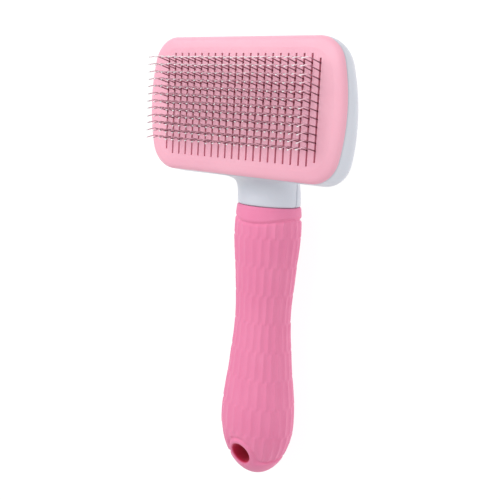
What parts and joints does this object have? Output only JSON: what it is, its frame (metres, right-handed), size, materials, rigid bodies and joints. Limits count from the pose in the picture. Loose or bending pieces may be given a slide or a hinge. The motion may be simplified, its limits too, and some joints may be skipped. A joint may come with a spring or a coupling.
{
  "type": "slicker brush",
  "caption": "Pet slicker brush: bent wire pins stand through a slotted plate that a rear push button drives forward to shed hair; rubber-gripped handle with hanging hole.",
  "frame": {"origin": "middle of the brush's length and width, on the surface it lies on, back down", "axes": "+Z out of the pin face, +Y from the handle's end to the head, +X across the head to the right seen with the pins towards the viewer and the head up"},
  "size_m": [0.104, 0.1927, 0.0512],
  "materials": {
    "white_abs": "satin moulded plastic, slightly cool white",
    "plate_pink": "satin moulded plastic, light pink",
    "button_pink": "satin moulded plastic, deeper pink",
    "grip_rubber": "matte soft-touch rubber, faceted",
    "cushion_rubber": "matte crimson rubber",
    "inner_crimson": "moulded plastic, crimson",
    "pin_steel": "polished stainless wire",
    "spring_steel": "drawn spring wire",
    "screw_steel": "zinc-plated steel"
  },
  "bodies": {
    "housing": {"front_housing": "white_abs", "rear_housing": "white_abs", "grip_sleeve": "grip_rubber", "pin_base": "inner_crimson", "pin_cushion": "cushion_rubber", "housing_screws": "screw_steel", "base_screws": "screw_steel", "return_spring_left": "spring_steel", "return_spring_right": "spring_steel", "pin_staples_01": "pin_steel", "pin_staples_02": "pin_steel", "pin_staples_03": "pin_steel", "pin_staples_04": "pin_steel", "pin_staples_05": "pin_steel", "pin_staples_06": "pin_steel", "pin_staples_07": "pin_steel", "pin_staples_08": "pin_steel", "pin_staples_09": "pin_steel", "pin_staples_10": "pin_steel", "pin_staples_11": "pin_steel"},
    "ejector": {"face_plate": "plate_pink", "push_frame": "inner_crimson", "push_button": "button_pink", "plate_screws": "screw_steel", "button_screws": "screw_steel"}
  },
  "joints": [
    {"name": "button_press", "type": "slide", "parent": "housing", "child": "ejector", "axis": [0, 0, 1], "range_m": [0, 0.009], "stiffness_N_per_m": 300, "springref_m": -0.008, "deforming": ["return_spring_left", "return_spring_right"]}
  ]
}
